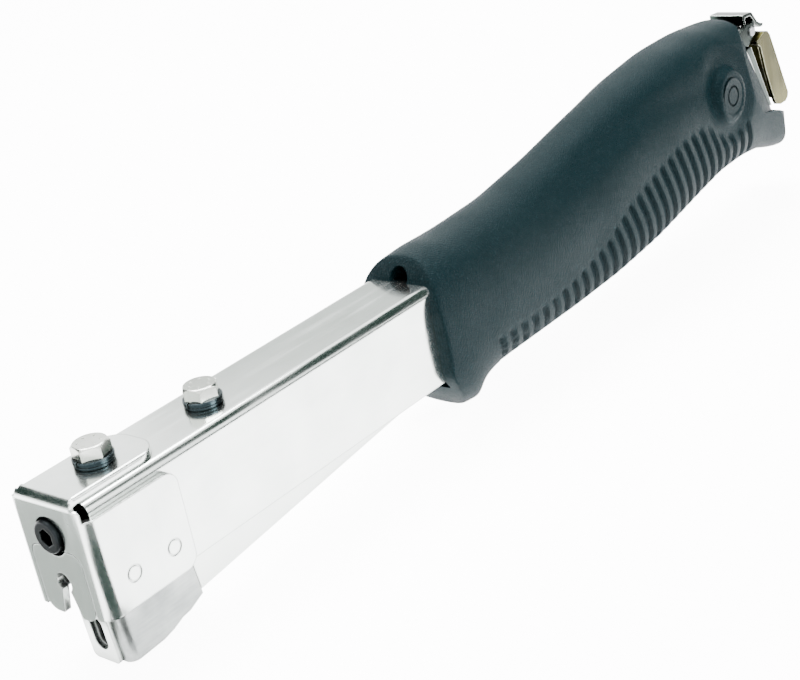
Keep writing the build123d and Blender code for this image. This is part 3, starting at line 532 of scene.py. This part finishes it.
def make_brushing():
    """Fine parallel scratches: a stretched noise, cut into streaks."""
    tree, start, end = new_group(
        "brushing",
        [("Vector", "NodeSocketVector", None), ("Scale", "NodeSocketFloat", 1.0),
         ("Cut", "NodeSocketFloat", 0.5)],
        [("Streaks", "NodeSocketFloat"), ("Scratches", "NodeSocketFloat")])
    fine = tree.nodes.new("ShaderNodeTexNoise")
    fine.inputs["Detail"].default_value = 3.0
    fine.inputs["Roughness"].default_value = 0.6
    coarse = tree.nodes.new("ShaderNodeTexNoise")
    coarse.inputs["Detail"].default_value = 1.0
    third = tree.nodes.new("ShaderNodeMath")
    third.operation = "MULTIPLY"
    third.inputs[1].default_value = 0.37
    tree.links.new(start.outputs["Vector"], fine.inputs["Vector"])
    tree.links.new(start.outputs["Scale"], fine.inputs["Scale"])
    tree.links.new(start.outputs["Scale"], third.inputs[0])
    tree.links.new(start.outputs["Vector"], coarse.inputs["Vector"])
    tree.links.new(third.outputs[0], coarse.inputs["Scale"])
    cut_at = tree.nodes.new("ShaderNodeMapRange")
    cut_at.inputs["From Max"].default_value = 0.75
    tree.links.new(start.outputs["Cut"], cut_at.inputs["From Min"])
    tree.links.new(coarse.outputs["Fac"], cut_at.inputs["Value"])
    tree.links.new(fine.outputs["Fac"], end.inputs["Streaks"])
    tree.links.new(cut_at.outputs["Result"], end.inputs["Scratches"])
    return tree


def make_clouding():
    """Broad uneven patches, as handling and plating leave."""
    tree, start, end = new_group(
        "clouding", [("Vector", "NodeSocketVector", None), ("Scale", "NodeSocketFloat", 60.0)],
        [("Patches", "NodeSocketFloat"), ("Specks", "NodeSocketFloat")])
    broad = tree.nodes.new("ShaderNodeTexNoise")
    broad.inputs["Detail"].default_value = 4.0
    specks = tree.nodes.new("ShaderNodeTexNoise")
    specks.inputs["Detail"].default_value = 2.0
    finer = tree.nodes.new("ShaderNodeMath")
    finer.operation = "MULTIPLY"
    finer.inputs[1].default_value = 40.0
    sharp = tree.nodes.new("ShaderNodeMapRange")
    sharp.inputs["From Min"].default_value = 0.60
    sharp.inputs["From Max"].default_value = 0.80
    tree.links.new(start.outputs["Vector"], broad.inputs["Vector"])
    tree.links.new(start.outputs["Scale"], broad.inputs["Scale"])
    tree.links.new(start.outputs["Scale"], finer.inputs[0])
    tree.links.new(start.outputs["Vector"], specks.inputs["Vector"])
    tree.links.new(finer.outputs[0], specks.inputs["Scale"])
    tree.links.new(specks.outputs["Fac"], sharp.inputs["Value"])
    tree.links.new(broad.outputs["Fac"], end.inputs["Patches"])
    tree.links.new(sharp.outputs["Result"], end.inputs["Specks"])
    return tree


def make_edge_finder():
    """1 on sharp outer edges, from how far a rounded normal turns away from the true one."""
    tree, start, end = new_group("edge_finder", [("Radius", "NodeSocketFloat", 0.0005)],
                                 [("Edge", "NodeSocketFloat"), ("Normal", "NodeSocketVector")])
    rounded = tree.nodes.new("ShaderNodeBevel")
    rounded.samples = 4
    true_normal = tree.nodes.new("ShaderNodeNewGeometry")
    dot = tree.nodes.new("ShaderNodeVectorMath")
    dot.operation = "DOT_PRODUCT"
    spread = tree.nodes.new("ShaderNodeMapRange")
    spread.inputs["From Min"].default_value = 0.98
    spread.inputs["From Max"].default_value = 0.80
    tree.links.new(start.outputs["Radius"], rounded.inputs["Radius"])
    tree.links.new(rounded.outputs["Normal"], dot.inputs[0])
    tree.links.new(true_normal.outputs["Normal"], dot.inputs[1])
    tree.links.new(dot.outputs["Value"], spread.inputs["Value"])
    tree.links.new(spread.outputs["Result"], end.inputs["Edge"])
    tree.links.new(rounded.outputs["Normal"], end.inputs["Normal"])
    return tree


PLATING_SCALE = 70.0
EDGE_RADIUS = 0.5 * MM
# Painted shade: metal is darkened towards the tone below in corners, recesses and contact spots, found by an
# occlusion mask of this reach.
PAINTED_SHADE_REACH = 7 * MM
PAINTED_SHADE_TONE = (0.006, 0.010, 0.009, 1)
MOULDING_SPECULAR = 0.07
MOULDING_TINT = (0.72, 0.93, 1.0, 1)
BRUSHING = make_brushing()
CLOUDING = make_clouding()
EDGE_FINDER = make_edge_finder()


def metal(name, light, dark, rough, lay, streak, depth, cut_at=0.55, painted_edge_tone=None):
    """Plated or ground metal: streaks along its lay, cloudy plating, sharp edges painted in an edge tone that
    stands for light (painted shade lines on pale metal, painted highlights on dark metal), and painted shade
    in corners and recesses.
    """
    finish = Finish(name, Metallic=1.0)
    lines = finish.group(BRUSHING, Vector=finish.stretched(lay), Scale=streak, Cut=cut_at)
    clouds = finish.group(CLOUDING, Vector=finish.coords.outputs["Object"], Scale=PLATING_SCALE)
    edges = finish.group(EDGE_FINDER, Radius=EDGE_RADIUS)
    tone = finish.mix(finish.spread(clouds.outputs["Patches"], 0.0, 0.7, 0.35, 0.7), light, dark)
    tone = finish.mix(finish.spread(lines.outputs["Streaks"], 0.0, 0.35, 0.4, 0.8), tone, dark)
    # Painted edge tone: dark painted shade lines along the sharp edges of the pale plated parts, painted
    # highlights along those of the dark parts.
    tone = finish.mix(finish.spread(edges.outputs["Edge"], 0.0, 0.8), tone, painted_edge_tone or light)
    # Painted shade in corners, recesses and under neighbouring parts.
    painted_shade = finish.add("ShaderNodeAmbientOcclusion", samples=6)
    painted_shade.inputs["Distance"].default_value = PAINTED_SHADE_REACH
    tone = finish.mix(finish.spread(painted_shade.outputs["AO"], 0.96, 0.0, 0.22, 0.62), tone, PAINTED_SHADE_TONE)
    finish.link(tone, finish.shader.inputs["Base Color"])
    rough_add = finish.add("ShaderNodeMath", operation="ADD")
    patchy = finish.spread(clouds.outputs["Patches"], rough * 0.8, rough * 1.25, 0.3, 0.7)
    finish.link(patchy, rough_add.inputs[0])
    finish.link(finish.spread(lines.outputs["Scratches"], 0.0, rough * 0.5), rough_add.inputs[1])
    finish.link(rough_add.outputs[0], finish.shader.inputs["Roughness"])
    normal = finish.bump(lines.outputs["Streaks"], depth, 0.0001, edges.outputs["Normal"])
    finish.link(normal, finish.shader.inputs["Normal"])
    return finish.material


def moulding(name, shade, bright, grain, rough):
    """Grained rubber or plastic: fine leather grain whose raised tips are painted in the lit tone (painted
    highlight), with painted shade in grooves and other hollows.
    """
    finish = Finish(name, Specular_IOR_Level=MOULDING_SPECULAR, Specular_Tint=MOULDING_TINT)
    cells = finish.add("ShaderNodeTexVoronoi", feature="F1")
    cells.inputs["Scale"].default_value = grain
    fine = finish.add("ShaderNodeTexNoise")
    fine.inputs["Scale"].default_value = grain * 1.7
    fine.inputs["Detail"].default_value = 3.0
    finish.link(finish.coords.outputs["Object"], cells.inputs["Vector"])
    finish.link(finish.coords.outputs["Object"], fine.inputs["Vector"])
    clouds = finish.group(CLOUDING, Vector=finish.coords.outputs["Object"], Scale=45.0)
    height = finish.add("ShaderNodeMath", operation="ADD")
    finish.link(finish.spread(cells.outputs["Distance"], 1.0, 0.0, 0.0, 0.7), height.inputs[0])
    finish.link(finish.spread(fine.outputs["Fac"], -0.5, 0.5, 0.3, 0.7), height.inputs[1])
    tone = finish.mix(finish.spread(clouds.outputs["Patches"], 0.0, 0.5, 0.35, 0.7), shade,
                      [c * 0.8 for c in shade[:3]] + [1])
    # Painted highlight: the grain's raised tips take the lit tone.
    tone = finish.mix(finish.spread(height.outputs[0], 0.0, 0.6, 0.75, 1.35), tone, bright)
    tone = finish.mix(finish.spread(clouds.outputs["Specks"], 0.0, 0.25), tone, bright)
    shape = finish.add("ShaderNodeNewGeometry")
    # Painted shade: concave spots such as the grooves are darkened from the mesh's pointiness.
    painted_hollow_shade = finish.spread(shape.outputs["Pointiness"], 0.85, 0.0, 0.40, 0.485)
    tone = finish.mix(painted_hollow_shade, tone, [c * 0.25 for c in shade[:3]] + [1])
    finish.link(tone, finish.shader.inputs["Base Color"])
    finish.link(finish.spread(clouds.outputs["Patches"], rough - 0.06, rough + 0.06, 0.3, 0.7),
                finish.shader.inputs["Roughness"])
    finish.link(finish.bump(height.outputs[0], 0.55, 0.0003), finish.shader.inputs["Normal"])
    return finish.material


GREEN_WHITE = (0.90, 0.935, 0.905, 1)
COOL_GREY = (0.70, 0.745, 0.72, 1)
# Dark tone painted along the sharp edges of the casing, head and guide plates: painted shade lines.
PAINTED_EDGE_SHADE = (0.05, 0.07, 0.065, 1)
EVEN_LAY = (1, 1, 1)
# Name: light tone, dark tone, roughness, lay, streak scale, streak depth, then cut and painted edge tone
# (painted shade lines on the pale plates, painted highlights on the dark parts).
METALS = {
    "casing_plate": (GREEN_WHITE, COOL_GREY, 0.14, (0.12, 1, 1), 900.0, 0.04, 0.55, PAINTED_EDGE_SHADE),
    "head_plate": (GREEN_WHITE, COOL_GREY, 0.16, (1, 1, 0.25), 500.0, 0.05, 0.55, PAINTED_EDGE_SHADE),
    "guide_plate": ((0.78, 0.81, 0.78, 1), COOL_GREY, 0.2, (1, 1, 0.3), 600.0, 0.08, 0.55, PAINTED_EDGE_SHADE),
    "ground_nose": ((0.52, 0.54, 0.53, 1), (0.16, 0.18, 0.18, 1), 0.3, (0.1, 1, 1), 1400.0, 0.55, 0.45),
    "zinc_bolt": ((0.74, 0.76, 0.71, 1), (0.42, 0.44, 0.41, 1), 0.16, (1, 1, 0.3), 700.0, 0.1),
    # The dark parts below take a paler painted edge tone: painted highlights along their edges.
    "blued_washer": ((0.030, 0.042, 0.048, 1), (0.008, 0.016, 0.020, 1), 0.22, EVEN_LAY, 600.0, 0.1, 0.55,
                     (0.22, 0.26, 0.27, 1)),
    "black_screw": ((0.016, 0.019, 0.021, 1), (0.006, 0.007, 0.008, 1), 0.35, EVEN_LAY, 700.0, 0.2, 0.55,
                    (0.07, 0.08, 0.08, 1)),
    "plain_steel": ((0.56, 0.57, 0.58, 1), (0.32, 0.33, 0.35, 1), 0.3, (0.2, 1, 1), 800.0, 0.2),
    "spring_steel": ((0.60, 0.62, 0.64, 1), (0.34, 0.36, 0.38, 1), 0.24, EVEN_LAY, 900.0, 0.1),
    "yellow_zinc": ((0.075, 0.068, 0.015, 1), (0.030, 0.027, 0.005, 1), 0.3, (1, 1, 0.12), 1300.0, 0.45, 0.45,
                    (0.62, 0.62, 0.46, 1)),
    "butt_plate": ((0.040, 0.055, 0.048, 1), (0.010, 0.016, 0.014, 1), 0.17, (1, 1, 0.3), 600.0, 0.08, 0.55,
                   (0.75, 0.80, 0.76, 1)),
}
# Name: shaded tone, lit tone (painted highlight on the grain's raised tips, also used for specks), grain
# scale, roughness.
MOULDINGS = {
    "grip_moulding": ((0.0010, 0.0085, 0.0105, 1), (0.040, 0.082, 0.096, 1), 1900.0, 0.48),
    "boss_cap": ((0.003, 0.011, 0.013, 1), (0.020, 0.045, 0.054, 1), 3300.0, 0.42),
    "buffer_rubber": ((0.012, 0.013, 0.014, 1), (0.04, 0.04, 0.04, 1), 1500.0, 0.6),
}
FINISHES = {name: metal(name, *values) for name, values in METALS.items()}
FINISHES.update({name: moulding(name, *values) for name, values in MOULDINGS.items()})
NODE_FINISH = {
    "casing": "casing_plate", "magazine_channel": "casing_plate", "head_cap": "head_plate",
    "front_guide": "guide_plate", "nose_tongue": "guide_plate", "nose_shoe": "ground_nose",
    "driver_blade": "ground_nose", "hex_bolts": "zinc_bolt", "flat_washers": "blued_washer",
    "lock_washers": "blued_washer", "front_screw": "black_screw", "loader_yoke": "yellow_zinc",
    "rear_bracket": "butt_plate", "catch": "butt_plate", "catch_pin": "plain_steel",
    "pivot_caps": "boss_cap", "grip": "grip_moulding", "stop_buffer": "buffer_rubber",
    "return_spring": "spring_steel", "pusher_spring": "spring_steel", "catch_spring": "spring_steel",
}


def dress_nodes():
    """Gives every node its finish; those not named above are plain steel."""
    for name, node in NODES.items():
        finish = FINISHES[NODE_FINISH.get(name, "plain_steel")]
        node.data.materials.clear()
        node.data.materials.append(finish)


# ---------------------------------------------------------------- studio
FLOOR_SIZE = 14
FLOOR_BELOW = 0.2 * MM
FLOOR_GLOW = 11.0
FLOOR_GLOSSY = 3.6
FLOOR_DIFFUSE_SHARE = 0.03
WORLD_DIFFUSE = 0.16
WORLD_GLOSSY = 3.0
CAMERA_PLACE = (-171.79, -280.16, 183.75)
CAMERA_FORWARD = (0.66348, 0.63797, -0.39087)
CAMERA_ROLL = -11.11
CAMERA_LENS = 73.89
CARD_CENTRE = (0, 0, 0.04)
# Name: place, target, width and height, power.
LIGHTS = [
    ("overhead", (0.25, 0.45, 1.35), (0, 0, 0), (1.0, 0.8), 62),
    ("key", (0.15, -1.2, 0.75), (0, 0, 0.03), (0.6, 0.5), 26),
]
# Cards round the set. Name: azimuth, elevation, distance, width and height, glow.
SIDE_CARDS = [
    ("near_bend", -22, 30, 1.2, (1.5, 1.34), 0.0),
    ("front_fold", 117, 30, 1.0, (0.98, 0.86), 0.0),
    ("top_sheen", 44, 20, 1.5, (0.7, 0.3), 1.1),
]
# Cards on the floor, in millimetres on the tool. Name: x from and to, y from and to, glow.
FLOOR_CARDS = [
    ("near_fold", -60, 22, -105, -34, 0.0),
    ("nose_fold", -25, 9, -33, -12, 0.0),
    ("front_shade", -88, -4, -6, 98, 0.8),
    ("far_floor", -250, 800, -800, -114, 0.0),
]


def make_floor():
    """White paper that glows to the camera, less in reflections and hardly as a light."""
    deselect()
    bpy.ops.mesh.primitive_plane_add(size=FLOOR_SIZE, location=(0, 0, cad_low.z - FLOOR_BELOW))
    floor = named("floor")
    finish = Finish("floor_paper", Roughness=0.9)
    paper = finish.add("ShaderNodeTexNoise")
    paper.inputs["Scale"].default_value = 900.0
    finish.link(finish.coords.outputs["Object"], paper.inputs["Vector"])
    finish.link(finish.mix(paper.outputs["Fac"], (0.86, 0.86, 0.86, 1), (0.90, 0.90, 0.90, 1)),
                finish.shader.inputs["Base Color"])
    finish.shader.inputs["Emission Color"].default_value = (1.0, 1.0, 1.0, 1)
    path = finish.add("ShaderNodeLightPath")
    seen = finish.spread(path.outputs["Is Camera Ray"], FLOOR_GLOSSY, FLOOR_GLOW)
    unlit = finish.add("ShaderNodeMath", operation="MULTIPLY")
    finish.link(seen, unlit.inputs[0])
    finish.link(finish.spread(path.outputs["Is Diffuse Ray"], 1.0, FLOOR_DIFFUSE_SHARE), unlit.inputs[1])
    finish.link(unlit.outputs[0], finish.shader.inputs["Emission Strength"])
    floor.data.materials.append(finish.material)


def soft_light(name, place, target, size, power):
    lamp = bpy.data.lights.new(name, "AREA")
    lamp.shape = "RECTANGLE"
    lamp.size, lamp.size_y = size
    lamp.energy = power
    light = bpy.data.objects.new(name, lamp)
    bpy.context.scene.collection.objects.link(light)
    light.location = place
    light.rotation_euler = (Vector(target) - Vector(place)).to_track_quat("-Z", "Y").to_euler()


def card_finish(name, glow):
    finish = Finish("card_" + name, Roughness=1.0, Specular_IOR_Level=0.0)
    weave = finish.group(CLOUDING, Vector=finish.coords.outputs["Object"], Scale=20.0)
    tone = finish.mix(weave.outputs["Patches"], (0.006, 0.014, 0.011, 1), (0.016, 0.030, 0.026, 1))
    finish.link(tone, finish.shader.inputs["Base Color"])
    finish.shader.inputs["Emission Color"].default_value = (0.95, 1.0, 0.96, 1)
    finish.shader.inputs["Emission Strength"].default_value = glow
    return finish.material


def put_card(card, name, glow):
    """Makes a plane into a card that is seen only in reflections."""
    card.data.materials.append(card_finish(name, glow))
    card.visible_camera = False
    card.visible_diffuse = False
    card.visible_shadow = False


def side_card(name, azimuth, elevation, distance, size, glow):
    """Card beside the set, facing its middle; dark unless it glows."""
    az, el = math.radians(azimuth), math.radians(elevation)
    way = Vector((math.cos(el) * math.cos(az), math.cos(el) * math.sin(az), math.sin(el)))
    middle = Vector(CARD_CENTRE) + way * distance
    turn = (-way).to_track_quat("Z", "Y").to_euler()
    deselect()
    bpy.ops.mesh.primitive_plane_add(size=1, location=middle, rotation=turn)
    bpy.context.active_object.scale = (size[0], size[1], 1)
    put_card(named(name), name, glow)


def floor_card(name, x0, x1, y0, y1, glow):
    """Strip lying on the floor, between millimetres on the tool; dark unless it glows."""
    a, b = at(x0, y0, 0), at(x1, y1, 0)
    deselect()
    bpy.ops.mesh.primitive_plane_add(size=1, location=((a.x + b.x) / 2, (a.y + b.y) / 2, cad_low.z))
    bpy.context.active_object.scale = (abs(b.x - a.x), abs(b.y - a.y), 1)
    put_card(named(name), name, glow)


def make_world():
    """White studio, brighter in reflections than as a light."""
    world = bpy.data.worlds.new("studio")
    bpy.context.scene.world = world
    world.use_nodes = True
    tree = world.node_tree
    background = tree.nodes["Background"]
    background.inputs["Color"].default_value = (0.985, 1.0, 0.99, 1)
    path = tree.nodes.new("ShaderNodeLightPath")
    level = tree.nodes.new("ShaderNodeMapRange")
    level.inputs["To Min"].default_value = WORLD_GLOSSY
    level.inputs["To Max"].default_value = WORLD_DIFFUSE
    tree.links.new(path.outputs["Is Diffuse Ray"], level.inputs["Value"])
    tree.links.new(level.outputs["Result"], background.inputs["Strength"])


def make_camera():
    lens = bpy.data.cameras.new("view")
    lens.lens = CAMERA_LENS
    camera = bpy.data.objects.new("view", lens)
    bpy.context.scene.collection.objects.link(camera)
    place = at(*CAMERA_PLACE)
    forward = Vector(CAMERA_FORWARD)
    upright = forward.to_track_quat("-Z", "Y")
    roll = Matrix.Rotation(math.radians(CAMERA_ROLL), 4, "Z")
    camera.matrix_world = Matrix.Translation(place) @ upright.to_matrix().to_4x4() @ roll
    bpy.context.scene.camera = camera


# ---------------------------------------------------------------- scene
grip = make_grip()
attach(grip, "frame")
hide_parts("grip")
grip.data.materials.append(FINISHES["grip_moulding"])
dress_nodes()
make_floor()
make_world()
make_camera()
for light in LIGHTS:
    soft_light(*light)
for card in SIDE_CARDS:
    side_card(*card)
for card in FLOOR_CARDS:
    floor_card(*card)
